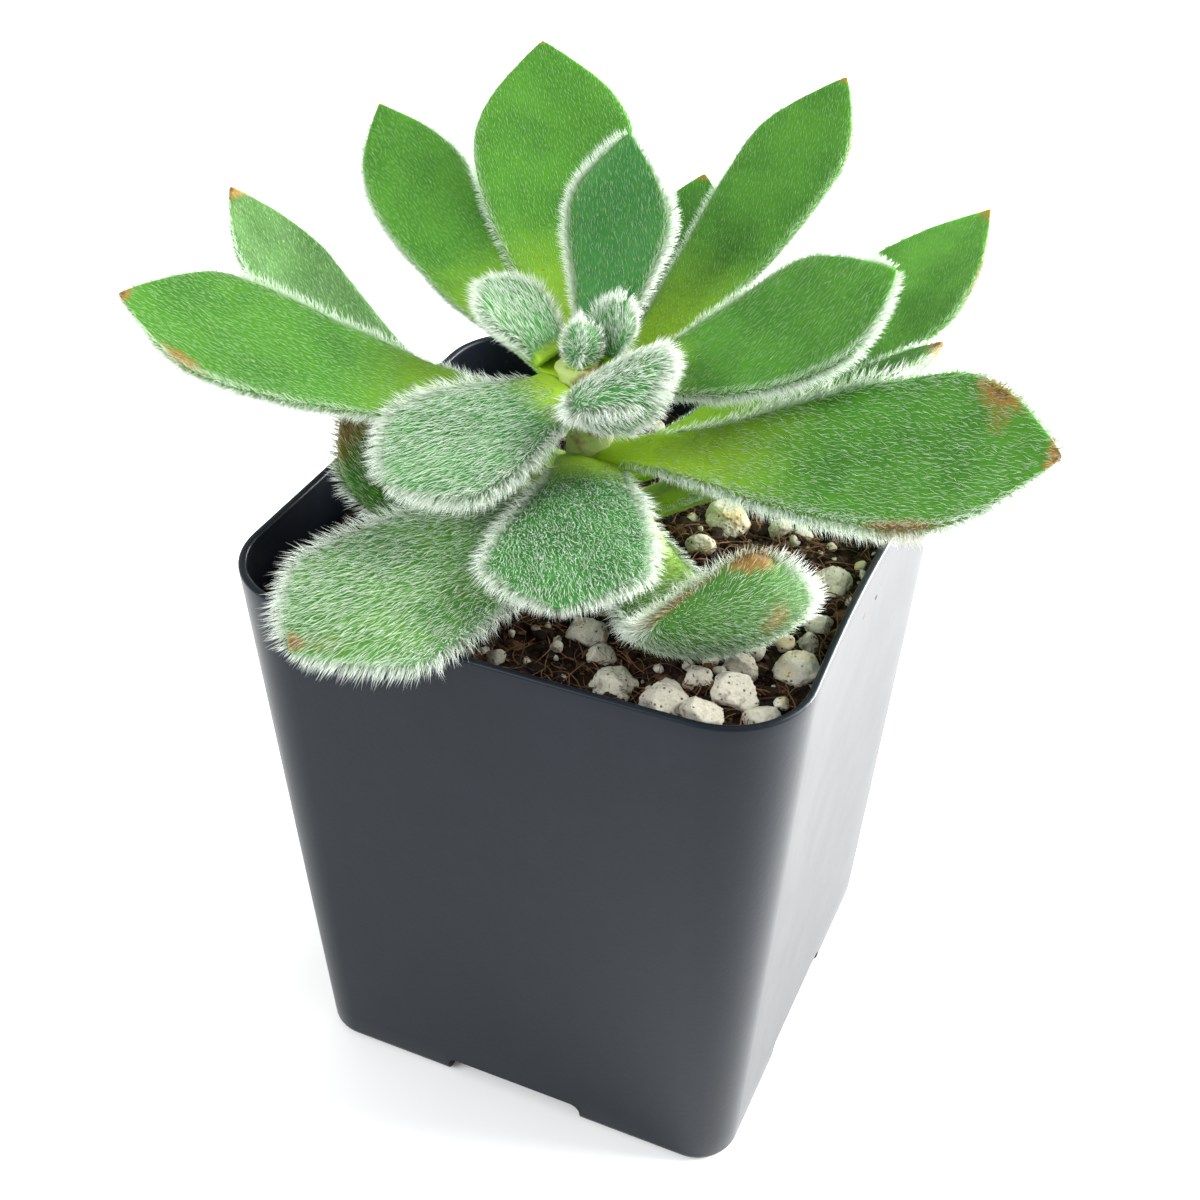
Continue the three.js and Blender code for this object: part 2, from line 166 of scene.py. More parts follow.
# points are in millimetres, faces are arrays of 3 or 4 corners a row, numbers hold one value for each point
def makePiece(name, points, faces, material, slotName, stands=(), smooth=True, numbers=None, uv=None):
    mesh = bpy.data.meshes.new(name)
    points = np.asarray(points, float) * mm
    mesh.vertices.add(len(points))
    mesh.vertices.foreach_set("co", points.astype(np.float32).ravel())
    corners = np.concatenate([f.ravel() for f in faces]).astype(np.int32)
    counts = np.concatenate([np.full(len(f), f.shape[1]) for f in faces]).astype(np.int32)
    mesh.loops.add(len(corners))
    mesh.loops.foreach_set("vertex_index", corners)
    mesh.polygons.add(len(counts))
    starts = np.concatenate([[0], np.cumsum(counts)[:-1]]).astype(np.int32)
    mesh.polygons.foreach_set("loop_start", starts)
    mesh.polygons.foreach_set("use_smooth", np.full(len(counts), smooth))
    mesh.update(calc_edges=True)
    for word, values in (numbers or {}).items():
        attribute = mesh.attributes.new(word, "FLOAT", "POINT")
        attribute.data.foreach_set("value", np.asarray(values, np.float32))
    if uv is not None:
        layer = mesh.uv_layers.new(name=bakeMap)
        layer.uv.foreach_set("vector", np.asarray(uv, np.float32)[corners].ravel())
    mesh.materials.append(material)
    piece = bpy.data.objects.new(name, mesh)
    bpy.context.scene.collection.objects.link(piece)
    return settle(piece, stands)


def settle(piece, stands=()):
    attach(piece, body)
    if stands:
        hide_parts(*stands)
    return piece


def tubeFaces(rings, sides):         # quads round a run of rings that follow each other
    ring, side = np.meshgrid(np.arange(rings - 1), np.arange(sides), indexing="ij")
    low = ring * sides
    after = (side + 1) % sides
    return np.stack([low + side, low + after, low + sides + after, low + sides + side], -1).reshape(-1, 4)


def closedTube(rings, sides):        # a tube whose two end middles are its last two points
    total = rings * sides
    return [tubeFaces(rings, sides), fanFaces(0, sides, total, True),
            fanFaces(total - sides, sides, total + 1, False)]


def fanFaces(start, sides, middle, inward):      # triangles that close one ring round a middle point
    side = np.arange(sides)
    after = (side + 1) % sides
    ends = (start + after, start + side) if inward else (start + side, start + after)
    return np.stack([ends[0], ends[1], np.full(sides, middle)], -1)


view = dict(azimuth=23.2, elevation=36.25, roll=1.0, distance=176.7, target=(0, 0, 51.5), lens=51.54,
            sensor=36.0, shiftX=-0.0075, nearest=10)


def makeCamera():
    azimuth, elevation = math.radians(view["azimuth"]), math.radians(view["elevation"])
    back = Vector((math.sin(azimuth) * math.cos(elevation), -math.cos(azimuth) * math.cos(elevation),
                   math.sin(elevation)))
    right = Vector((math.cos(azimuth), math.sin(azimuth), 0))
    up = back.cross(right)
    turn = math.radians(view["roll"])
    across = right * math.cos(turn) + up * math.sin(turn)
    above = up * math.cos(turn) - right * math.sin(turn)
    data = bpy.data.cameras.new("camera")
    data.lens, data.sensor_width, data.shift_x = view["lens"], view["sensor"], view["shiftX"]
    data.clip_start = view["nearest"] * mm
    camera = bpy.data.objects.new("camera", data)
    bpy.context.scene.collection.objects.link(camera)
    place = (Vector(view["target"]) + back * view["distance"]) * mm
    turned = Matrix((across, above, back)).transposed().to_4x4()
    camera.matrix_world = Matrix.Translation(place) @ turned
    bpy.context.scene.camera = camera


lights = dict(
    sky=0.85,            # strength of the even white surround
    window=dict(place=(420, 260, 330), size=(420, 420), power=9.0, colour=(1, 0.99, 0.97)),
    low=dict(place=(260, 420, 60), size=(500, 120), power=14.0, colour=(1, 1, 1)),
    front=dict(place=(-300, -420, 380), size=(320, 320), power=3.2, colour=(0.97, 0.99, 1)),
    aim=(0, 0, 45),
)


def makeLights():
    scene = bpy.context.scene
    scene.view_settings.view_transform = "Standard"
    world = bpy.data.worlds.new("surround")
    world.use_nodes = True
    sky = world.node_tree.nodes["Background"]
    sky.inputs["Color"].default_value = (1, 1, 1, 1)
    sky.inputs["Strength"].default_value = lights["sky"]
    scene.world = world
    for name in ("window", "low", "front"):
        one = lights[name]
        data = bpy.data.lights.new(name, "AREA")
        data.shape = "RECTANGLE"
        data.size, data.size_y = one["size"][0] * mm, one["size"][1] * mm
        data.energy, data.color = one["power"], one["colour"]
        lamp = bpy.data.objects.new(name, data)
        scene.collection.objects.link(lamp)
        place = Vector(one["place"]) * mm
        lamp.location = place
        lamp.rotation_mode = "QUATERNION"
        lamp.rotation_quaternion = (Vector(lights["aim"]) * mm - place).to_track_quat("-Z", "Y")
        lamp.visible_camera = False


floorSheet = dict(half=3000, mottleSize=30, dark=(0.93, 0.93, 0.93), pale=(0.96, 0.96, 0.96), roughness=0.6)


def makeFloor():
    paint = Paint("paleFloor")
    mottle = paint.noise(floorSheet["mottleSize"], detail=2)
    colour = paint.blend(floorSheet["dark"], floorSheet["pale"], mottle)
    material = paint.finish(baseColor=colour, roughness=floorSheet["roughness"])
    half = floorSheet["half"] * mm
    corners = [(-half, -half, 0), (half, -half, 0), (half, half, 0), (-half, half, 0)]
    mesh = bpy.data.meshes.new("floor")
    mesh.from_pydata(corners, [], [(0, 1, 2, 3)])
    mesh.materials.append(material)
    floor = bpy.data.objects.new("floor", mesh)
    bpy.context.scene.collection.objects.link(floor)


# rightBow and frontBow: how far the middles of two walls are drawn in at the rim
# overcut: how far a cutting solid stands past what it cuts
pot = dict(topWidth=57, baseWidth=48.6, height=64, wall=0.8, floor=1, topCorner=8.6, baseCorner=4.5,
           baseEdge=1.2, rightBow=1.2, frontBow=0.5, rimRound=0.33, notchWidth=16, notchHeight=2.5,
           notchDepth=9, notchCorner=1.2, notchSteps=8, drainLength=9, drainWidth=3.5, drainSteps=10,
           overcut=1, roundSteps=6, outerRings=22, hollowRings=12, sharpAngle=38)
# the lighter plastic colour shows in scuffs, dust specks and upright streaks; the streaks are painted sheen,
# a slight vertical sheen laid into the colour
plastic = dict(black=(0.0045, 0.0065, 0.0105), scuffDustAndSheen=(0.011, 0.0145, 0.0205), mottleSize=5,
               mottleShare=0.2, sheenStreakSize=1.2, sheenStreakStretch=(1, 1, 0.12), sheenStreakShare=0.12, dustSize=0.35,
               dustShare=0.4, grainSize=0.5, grainDepth=0.02, roughness=0.3, unevenness=0.05, gloss=0.16,
               glossTint=(0.85, 0.93, 1))


def potRing(height, inset, cornerSteps=14, wallSteps=14):        # the pot's outline at a height
    rise = height / pot["height"]
    half = mix(pot["baseWidth"], pot["topWidth"], rise) / 2 - inset
    radius = mix(pot["baseCorner"], pot["topCorner"], rise) - inset
    flat = half - radius
    ring = []
    for side in range(4):
        turn = math.radians(side * 90)
        outline = []
        for i in range(cornerSteps + 1):
            angle = math.radians(90 * i / cornerSteps)
            outline.append((flat + radius * math.cos(angle), flat + radius * math.sin(angle)))
        for i in range(1, wallSteps):
            outline.append((mix(flat, -flat, i / wallSteps), half))
        for u, v in outline:
            x = u * math.cos(turn) - v * math.sin(turn)
            y = u * math.sin(turn) + v * math.cos(turn)
            right = max(0, x / half) * wallBow(y / half)
            front = max(0, -y / half) * wallBow(x / half)
            ring.append((x - pot["rightBow"] * rise * right, y - pot["frontBow"] * rise * front, height))
    return np.array(ring)


def wallBow(share):
    return max(0, 1 - share * share) ** 1.5


def loftMesh(name, rings):
    sides = len(rings[0])
    points = np.concatenate([*rings, [rings[0].mean(axis=0)], [rings[-1].mean(axis=0)]])
    faces = [face.tolist() for block in closedTube(len(rings), sides) for face in block]
    mesh = bpy.data.meshes.new(name)
    mesh.from_pydata((points * mm).tolist(), [], faces)
    solid = bpy.data.objects.new(name, mesh)
    bpy.context.scene.collection.objects.link(solid)
    return solid


def notchBlock(grow):            # the raised notches in the feet of the four walls, as one solid each
    half = pot["notchWidth"] / 2 + grow
    top = pot["notchHeight"] + grow
    radius = pot["notchCorner"] + grow
    steps = pot["notchSteps"]
    outline = [(-half, -pot["overcut"]), (half, -pot["overcut"])]
    for start, side in ((0, 1), (90, -1)):
        for i in range(steps + 1):
            angle = math.radians(start + 90 * i / steps)
            outline.append((side * (half - radius) + radius * math.cos(angle),
                            top - radius + radius * math.sin(angle)))
    near = -pot["baseWidth"] / 2 - pot["overcut"]
    far = -pot["baseWidth"] / 2 + pot["notchDepth"] + grow
    blocks = []
    for side in range(4):
        turn = Matrix.Rotation(math.radians(90 * side), 3, "Z")
        rings = [np.array([turn @ Vector((u, y, v)) for u, v in outline]) for y in (far, near)]
        blocks.append(loftMesh("notch", rings))
    return blocks


def drainSlots():
    radius = pot["drainWidth"] / 2
    reach = pot["drainLength"] / 2 - radius
    steps = pot["drainSteps"]
    outline = []
    for centre, start in ((reach, -90), (-reach, 90)):
        for i in range(steps + 1):
            angle = math.radians(start + 180 * i / steps)
            outline.append((centre + radius * math.cos(angle), radius * math.sin(angle)))
    middle = -pot["baseWidth"] / 2 + pot["notchDepth"] / 2 + pot["wall"]
    low = pot["notchHeight"] - pot["overcut"]
    high = pot["notchHeight"] + pot["floor"] + pot["overcut"]
    slots = []
    for side in range(4):
        turn = Matrix.Rotation(math.radians(90 * side), 3, "Z")
        rings = [np.array([turn @ Vector((u, middle + v, z)) for u, v in outline]) for z in (low, high)]
        slots.append(loftMesh("slot", rings))
    return slots


def cut(solid, tools):
    for tool in tools:
        modifier = solid.modifiers.new("cut", "BOOLEAN")
        modifier.operation, modifier.solver, modifier.object = "DIFFERENCE", "EXACT", tool
        graph = bpy.context.evaluated_depsgraph_get()
        mesh = bpy.data.meshes.new_from_object(solid.evaluated_get(graph), depsgraph=graph)
        solid.modifiers.clear()
        old, solid.data = solid.data, mesh
        bpy.data.meshes.remove(old)
    for tool in tools:
        bpy.data.objects.remove(tool)
    return solid


def potPaint():
    paint = Paint("blackPlastic")
    mottle = paint.noise(plastic["mottleSize"], detail=4, roughness=0.6)
    # painted sheen: noise drawn out upright, giving faint vertical streaks of the lighter colour
    sheenStreak = paint.noise(plastic["sheenStreakSize"], detail=2, stretch=plastic["sheenStreakStretch"])
    dust = paint.noise(plastic["dustSize"], detail=1).between(0.72, 0.8) * plastic["dustShare"]
    scuffs = mottle.between(0.4, 0.8) * plastic["mottleShare"]
    streaks = sheenStreak.between(0.5, 0.8) * plastic["sheenStreakShare"]
    colour = paint.blend(plastic["black"], plastic["scuffDustAndSheen"], (scuffs + streaks + dust).held())
    grain = paint.bump(paint.noise(plastic["grainSize"], detail=3), plastic["grainDepth"], 0.5)
    roughness = plastic["roughness"] + mottle * plastic["unevenness"]
    return paint.finish(baseColor=colour, roughness=roughness, normal=grain,
                        specularIorLevel=plastic["gloss"], specularTint=plastic["glossTint"])


def makePot():
    height, wall, floor, edge, bead = (pot[k] for k in ("height", "wall", "floor", "baseEdge", "rimRound"))
    quarter = [math.radians(90 * i / pot["roundSteps"]) for i in range(pot["roundSteps"] + 1)]
    levels = [(edge * (1 - math.cos(a)), edge * (1 - math.sin(a))) for a in quarter]
    levels += [(height * share, 0) for share in np.linspace(0.06, 0.97, pot["outerRings"])]
    levels += [(height - bead * (1 - math.sin(a)), bead * (1 - math.cos(a))) for a in quarter]
    outer = loftMesh("outer", [potRing(*level) for level in levels])
    levels = [(floor, wall + edge / 2), (floor + edge, wall)]
    levels += [(height * share, wall) for share in np.linspace(0.1, 0.97, pot["hollowRings"])]
    levels += [(height - bead * (1 - math.sin(a)), wall - bead * (1 - math.cos(a))) for a in quarter]
    rings = [potRing(*level) for level in levels]
    rings.append(potRing(height, wall - bead) + (0, 0, pot["overcut"]))
    hollow = loftMesh("hollow", rings)
    cut(hollow, notchBlock(floor))
    cut(outer, [hollow] + notchBlock(0) + drainSlots())
    outer.name = "pot_shell"
    outer.data.materials.clear()
    outer.data.materials.append(potPaint())
    outer.data.shade_smooth()
    outer.data.set_sharp_from_angle(angle=math.radians(pot["sharpAngle"]))
    settle(outer, ["pot"])


stem = dict(soilTop=58, radius=3, topRadius=2, height=21, buried=8, lean=(-0.136, -0.09), rings=90,
            sides=48, scarHeight=0.12, lumpSize=1.6, lumpHeight=0.1, patchSize=1.5, grainSize=0.3,
            grainDepth=0.05, roughness=0.7, green=(0.36, 0.46, 0.14), scar=(0.2, 0.12, 0.05))


def stemAxis(height):
    above = np.asarray(height, float) - stem["soilTop"]
    return np.stack([stem["lean"][0] * above, stem["lean"][1] * above, above + stem["soilTop"]], -1)


def stemRadius(height):
    return mix(stem["radius"], stem["topRadius"], smoothStep((height - stem["soilTop"]) / stem["height"]))


def makeStem():
    rings, sides = stem["rings"], stem["sides"]
    heights = np.linspace(stem["soilTop"] - stem["buried"], stem["soilTop"] + stem["height"], rings)
    angles = np.linspace(0, 2 * math.pi, sides, endpoint=False)
    level, turn = (grid.ravel() for grid in np.meshgrid(heights, angles, indexing="ij"))
    winding = 3 * np.sin(turn * 2 + level * 0.4)
    scars = np.cos(level * 2.1 + winding) * stem["scarHeight"]       # low ridges left by shed leaves
    radius = stemRadius(level) + scars
    out = np.stack([np.cos(turn), np.sin(turn), np.zeros_like(turn)], -1)
    points = stemAxis(level) + out * radius[:, None]
    points += out * (waves(points, stem["lumpSize"], 5) * stem["lumpHeight"])[:, None]
    points = np.concatenate([points, stemAxis(heights[[0, -1]])])
    paint = Paint("stemSkin")
    patches = paint.noise(stem["patchSize"], detail=4).between(0.45, 0.7)
    colour = paint.blend(stem["green"], stem["scar"], patches)
    grain = paint.bump(paint.noise(stem["grainSize"]), stem["grainDepth"])
    material = paint.finish(baseColor=colour, roughness=stem["roughness"], normal=grain)
    makePiece("stem_skin", points, closedTube(rings, sides), material, "stem", ["stem"])


# azimuth: which way the leaf points, anticlockwise from +X; height: where it leaves the stem, above the soil
# rise: slope at the base and at the tip; sway: sideways turn; roll: twist; neck: the base's width, as a share
# belly: how far along it is widest; tip: lower is rounder. Angles are in degrees.
leafShapes = dict(
    leaf_left_long=dict(azimuth=203, height=15.6, rise=(4, 30), sway=2, roll=-11, length=42, width=15,
                        neck=0.3, belly=0.77),
    leaf_left_rear=dict(azimuth=176, height=8, rise=(-2, 49), sway=-15, roll=13, length=49, width=12.7,
                        neck=0.4, belly=0.77),
    leaf_rear_left=dict(azimuth=149, height=19, rise=(5, 32), sway=-9, roll=-16, length=42.5, width=11,
                        neck=0.36, belly=0.7),
    leaf_rear_tall=dict(azimuth=120, height=17, rise=(22, 38), sway=2, roll=-7, length=42.5, width=16.5,
                        neck=0.28, belly=0.68),
    leaf_upright=dict(azimuth=93, height=19.5, rise=(52, 76), sway=3, roll=8, length=21.5, width=9.3,
                      neck=0.34, belly=0.63),
    leaf_rear_hidden=dict(azimuth=91, height=11, rise=(20, 50), sway=0, roll=0, length=31.5, width=12,
                          neck=0.36, belly=0.68),
    leaf_rear_right=dict(azimuth=71, height=16, rise=(22, 42), sway=2, roll=0, length=42.5, width=11.5,
                         neck=0.38, belly=0.74),
    leaf_right_rear=dict(azimuth=45, height=9, rise=(7, 44), sway=12, roll=0, length=46, width=14,
                         neck=0.38, belly=0.71),
    leaf_right_upper=dict(azimuth=22, height=19, rise=(8, 43), sway=1, roll=22, length=29, width=13.4,
                          neck=0.38, belly=0.71),
    leaf_right_long=dict(azimuth=0, height=12.2, rise=(10, 20), sway=-4, roll=23, length=42.4, width=17.5,
                         neck=0.26, belly=0.75),
    leaf_right_hidden=dict(azimuth=25, height=5, rise=(22, 45), sway=0, roll=-15, length=33.5, width=12,
                           neck=0.38, belly=0.66),
    leaf_front=dict(azimuth=289, height=11.6, rise=(4, -4), sway=-3, roll=4, length=22.8, width=14,
                    neck=0.48, belly=0.76, cup=0.02),
    leaf_front_left=dict(azimuth=239, height=18.7, rise=(-8, -10), sway=2, roll=-11, length=19, width=13.3,
                         neck=0.55, belly=0.67, cup=0.03),
    leaf_over_rim=dict(azimuth=251, height=7.95, rise=(5, -6), sway=-3, roll=-7, length=34.5, width=16.8,
                       neck=0.6, belly=0.74, cup=-0.02),
    leaf_curled_left=dict(azimuth=202, height=3.4, rise=(-12, 76), sway=-19, roll=-35, length=27.5,
                          width=12.5, neck=0.4, belly=0.7),
    leaf_curled_right=dict(azimuth=318.8, height=5.7, rise=(-27.3, 81.3), sway=-6, roll=-6, length=35.5,
                           width=13.6, neck=0.5, belly=0.7, thickness=4.2, cup=0.01, tip=0.7),
    centre_bud=dict(azimuth=30, height=21.3, rise=(88, 84), sway=0, roll=0, length=4, width=3.4, neck=0.7,
                    belly=0.45, thickness=3.2, cup=0, central=True),
    crown_leaf_left=dict(azimuth=165, height=21, rise=(40, 25), sway=0, roll=0, length=9.5, width=7,
                         neck=0.6, belly=0.6),
    crown_leaf_rear=dict(azimuth=60, height=21, rise=(72, 60), sway=0, roll=0, length=5.5, width=5,
                         neck=0.6, belly=0.5, thickness=2.2),
    crown_leaf_right=dict(azimuth=325, height=20, rise=(40, -2), sway=0, roll=17, length=7.7, width=9.7,
                          neck=0.6, belly=0.55, thickness=5.3, tip=0.8),
)

# clearance: gap between stem and leaf; intoStem: how far the leaf runs back over it, as a share of its length
# crowding: how much closer the rings are at the tip
leafForm = dict(thickness=3, cup=0.09, upperBulge=0.35, tipSharpness=0.95, twistLength=0.35, clearance=0.3,
                intoStem=0.035, rings=110, sides=72, shortLength=12, tipShare=0.9985, crowding=1.35,
                spineSteps=192, baseThickness=0.85, thickBy=0.4, thinFrom=0.55, swell=0.12, swellSize=7,
                grain=0.03, grainSize=1.1, marginWidth=0.3)


def leafFrame(leaf, share):          # directions along, across and out of the upper face
    slope = np.radians(mix(leaf["rise"][0], leaf["rise"][1], share))
    heading = np.radians(leaf["azimuth"] + leaf["sway"] * share)
    twist = np.radians(leaf["roll"]) * np.clip(share / leafForm["twistLength"], 0, 1)
    along = np.stack([np.cos(heading) * np.cos(slope), np.sin(heading) * np.cos(slope), np.sin(slope)], -1)
    level = np.stack([-np.sin(heading), np.cos(heading), np.zeros_like(heading)], -1)
    across = level * np.cos(twist)[:, None] + np.cross(along, level) * np.sin(twist)[:, None]
    return along, across, np.cross(along, across)


def leafSpine(leaf, share):          # the midrib's place at each share of the length
    steps = leafForm["spineSteps"]
    thickness = leaf.get("thickness", leafForm["thickness"])
    foot = stem["soilTop"] + leaf["height"]
    tilt = abs(math.sin(math.radians(leaf["rise"][0])))
    beside = stemRadius(foot) + leafForm["clearance"] + thickness / 2 * tilt
    azimuth = math.radians(leaf["azimuth"])
    reach = 0 if leaf.get("central") else beside
    start = stemAxis(foot) + reach * np.array([math.cos(azimuth), math.sin(azimuth), 0])
    middles = (np.arange(steps) + 0.5) / steps
    travel = np.cumsum(leafFrame(leaf, middles)[0], axis=0) * leaf["length"] / steps
    path = np.concatenate([[start], start + travel])
    knots = np.linspace(0, 1, steps + 1)
    place = np.stack([np.interp(share, knots, path[:, i]) for i in range(3)], -1)
    before = np.minimum(share, 0)[:, None] * leaf["length"]
    return place + leafFrame(leaf, np.zeros_like(share))[0] * before


def bladeWidth(leaf, share):
    belly = leaf["belly"]
    near = mix(leaf["neck"], 1, smoothStep(share / belly))
    past = np.clip((share - belly) / (1 - belly), 0, 1)
    far = np.cos(past * math.pi / 2) ** leaf.get("tip", leafForm["tipSharpness"])
    return np.where(share < belly, near, far)


def bladeThickness(share):
    past = np.clip((share - leafForm["thinFrom"]) / (1 - leafForm["thinFrom"]), 0, 1)
    thick = mix(leafForm["baseThickness"], 1, smoothStep(share / leafForm["thickBy"]))
    return thick * np.sqrt(1 - past * past)


def leafSkin(leaf, share, turn):     # points of the skin, by share of the length and angle round the leaf
    along, across, upper = leafFrame(leaf, share)
    half = leaf["width"] * bladeWidth(leaf, share) / 2
    depth = leaf.get("thickness", leafForm["thickness"]) * bladeThickness(share)
    bulge = np.where(np.sin(turn) > 0, leafForm["upperBulge"], 1 - leafForm["upperBulge"])
    cup = leaf.get("cup", leafForm["cup"])
    lift = depth * bulge * np.sin(turn) + 2 * cup * half * np.cos(turn) ** 2
    sideways = half * np.cos(turn)
    points = leafSpine(leaf, share) + across * sideways[:, None] + upper * lift[:, None]
    seed = int(leaf["azimuth"] * 7 + leaf["height"] * 13)
    outward = unit(across * (sideways / np.maximum(half, 0.1))[:, None] + upper * np.sin(turn)[:, None])
    swell = leafForm["swell"] * waves(points, leafForm["swellSize"], seed)
    swell += leafForm["grain"] * waves(points, leafForm["grainSize"], seed + 1)
    fade = np.clip(depth * 2 / leafForm["thickness"], 0, 1)          # smooth where the leaf is thin
    return points + outward * (swell * fade)[:, None]


def leafNormal(leaf, share, turn):
    step = 1e-3
    low, high = np.minimum(share - step, 1 - 2 * step), np.minimum(share + step, 1 - step)
    alongSkin = leafSkin(leaf, high, turn) - leafSkin(leaf, low, turn)
    roundSkin = leafSkin(leaf, share, turn + step) - leafSkin(leaf, share, turn - step)
    return unit(np.cross(roundSkin, alongSkin))


# density: hairs to a square millimetre; stand, lean, side: their way off the skin, to the tip and sideways
# fringe: extra length on the left and right margins, seen from the stem; thick: how many times denser there
# wild: how much hairs differ; white: 0 is green, 1 is white
velvet = dict(density=7, length=0.45, radius=0.018, stand=0.6, lean=1.3, side=0.3, white=0.14,
              fringe=(0.75, 0.75), thick=11, wild=0.2)
plush = dict(density=15, length=1.5, radius=0.024, stand=0.62, lean=1.0, side=0.3, white=0.92,
             fringe=(0.7, 0.7), thick=4, wild=0.13)
combed = dict(density=6, length=1.15, radius=0.023, stand=0.5, lean=1.0, side=-0.55, white=0.58,
              fringe=(1.0, 0.8), thick=11, wild=0.16)

# limeReach: how far the yellow-green runs up from the base, as a share of the length
# rust: brown patches as (share of the length, angle round the leaf, size along, size round, strength), where
# angles 0 and 180 are the left and right margins and 90 is the middle of the upper face
grown = dict(blade=(0.048, 0.185, 0.01), shade=(0.022, 0.112, 0.006), lime=(0.24, 0.41, 0.01),
             limeReach=0.4, edge=(0.1, 0.26, 0.016), fur=velvet, rust=[(1.0, 90, 0.02, 400, 1.0)])
silvery = dict(blade=(0.05, 0.23, 0.04), shade=(0.014, 0.11, 0.016), lime=(0.28, 0.46, 0.03), limeReach=0.2,
               edge=(0.2, 0.45, 0.18), fur=plush, rust=[])

leafLooks = dict(
    leaf_left_long=dict(grown, fur=dict(velvet, fringe=(0.75, 0.85), thick=12, white=0.3, length=0.6),
                        rust=[(1.0, 90, 0.025, 400, 1.0), (0.83, 20, 0.06, 22, 0.8)]),
    # painted shade: this leaf's blade, shade and edge greens are darker copies of the grown greens, to take
    # back the window and low lamp light that falls on it
    leaf_left_rear=dict(grown, blade=(0.035, 0.115, 0.012), shade=(0.016, 0.07, 0.006),
                        edge=(0.06, 0.16, 0.02), limeReach=0.2, fur=dict(velvet, fringe=(0.7, 0.35)),
                        rust=[(1.0, 90, 0.03, 400, 1.0), (0.9, 180, 0.06, 12, 0.4)]),
    leaf_rear_left=dict(grown, fur=dict(velvet, fringe=(0.35, 0.85), thick=14),
                        rust=[(1.0, 90, 0.014, 400, 0.9)]),
    leaf_rear_tall=dict(grown, fur=dict(velvet, fringe=(0.6, 0.3), thick=6),
                        rust=[(1.0, 90, 0.014, 400, 0.9), (0.8, 180, 0.08, 9, 0.6),
                              (0.92, 0, 0.05, 9, 0.4)]),
    leaf_upright=dict(grown, blade=(0.03, 0.17, 0.03), shade=(0.016, 0.11, 0.018), limeReach=0.12,
                      fur=dict(velvet, length=0.6, fringe=(0.8, 0.8), thick=20, white=0.32), rust=[]),
    leaf_rear_hidden=dict(grown, rust=[(1.0, 90, 0.03, 400, 0.8)]),
    leaf_rear_right=dict(grown, fur=dict(velvet, fringe=(0.55, 0.3)),
                         rust=[(1.0, 90, 0.022, 400, 1.0), (0.86, 180, 0.1, 8, 0.7)]),
    leaf_right_rear=dict(grown, blade=(0.09, 0.26, 0.03), fur=dict(velvet, fringe=(0.3, 0.3)),
                         rust=[(1.0, 90, 0.03, 400, 0.9), (0.86, 180, 0.1, 12, 0.7),
                               (0.85, 0, 0.07, 9, 0.4), (0.75, 70, 0.02, 9, 0.6)]),
    leaf_right_upper=dict(grown, limeReach=0.26,
                          fur=dict(velvet, length=0.6, fringe=(0.5, 0.85), thick=18, white=0.28), rust=[]),
    leaf_right_long=dict(grown, fur=combed,
                         rust=[(1.0, 90, 0.026, 400, 1.2), (0.85, 25, 0.06, 28, 0.95),
                               (0.72, 172, 0.08, 20, 1.0), (0.86, 60, 0.04, 20, 0.5)]),
    leaf_right_hidden=dict(grown, rust=[(1.0, 90, 0.05, 400, 1.0)]),
    leaf_front=dict(silvery),
    leaf_front_left=dict(silvery, fur=dict(plush, fringe=(0.8, 0.8), thick=6, length=1.4)),
    leaf_over_rim=dict(silvery, blade=(0.09, 0.26, 0.025),
                       fur=dict(plush, density=12, length=1.6, white=0.88),
                       rust=[(0.985, 100, 0.03, 60, 1.0), (0.93, 60, 0.06, 50, 0.35)]),
    leaf_curled_left=dict(grown, fur=dict(plush, density=9, length=1.1, white=0.55),
                          rust=[(1.0, 90, 0.2, 400, 1.0), (0.8, 250, 0.24, 60, 0.75)]),
    leaf_curled_right=dict(grown, blade=(0.045, 0.165, 0.014),
                           fur=dict(plush, density=10, length=1.35, white=0.6),
                           rust=[(1.0, 90, 0.04, 400, 1.1), (0.82, 182, 0.2, 9, 0.9),
                                 (0.8, 300, 0.1, 20, 0.6), (0.62, 330, 0.08, 18, 0.5)]),
    centre_bud=dict(silvery, limeReach=0.05,
                    fur=dict(plush, density=24, length=1.0, radius=0.022, stand=1, lean=0.4)),
    crown_leaf_left=dict(silvery, limeReach=0.1, fur=dict(plush, density=19, length=1.05, radius=0.022)),
    crown_leaf_rear=dict(silvery, limeReach=0.05, fur=dict(plush, density=22, length=0.95, radius=0.022)),
    crown_leaf_right=dict(silvery, limeReach=0.05,
                          fur=dict(plush, density=21, length=1.5, radius=0.025, white=1)),
)

rustColour = (0.26, 0.12, 0.022)
rustDeep = (0.1, 0.026, 0.009)


def rustAt(look, share, turn):       # how brown each point is
    brown = np.zeros(len(share))
    for atShare, atTurn, sizeShare, sizeTurn, strength in look["rust"]:
        away = (np.degrees(turn) - atTurn + 180) % 360 - 180
        far = ((share - atShare) / sizeShare) ** 2 + (away / sizeTurn) ** 2
        brown = np.maximum(brown, strength * np.exp(-far))
    return brown


# sizes and depth are in millimetres; glow is the light that spreads under the skin
skin = dict(cloudSize=5, fineSize=0.45, napSize=0.2, napStretch=0.3, speckSize=0.55, speckPatch=6,
            depth=0.1, edge=0.55, limeWander=0.12, roughness=0.5, unevenness=0.15, gloss=0.25, glow=0.2,
            glowReach=(0.8, 1.6, 0.3), glowScale=1.2, sheen=0.05, sheenRoughness=0.4,
            sheenTint=(0.75, 1, 0.65))


def napNoise(paint):                 # short streaks that run along the leaf
    along, across = paint.attribute("along"), paint.attribute("across")
    place = paint.node("ShaderNodeCombineXYZ", {}, {"X": along * skin["napStretch"], "Y": across})
    sockets = {"Vector": place, "Scale": 1 / skin["napSize"], "Detail": 3.0, "Roughness": 0.6}
    return paint.node("ShaderNodeTexNoise", {}, sockets)


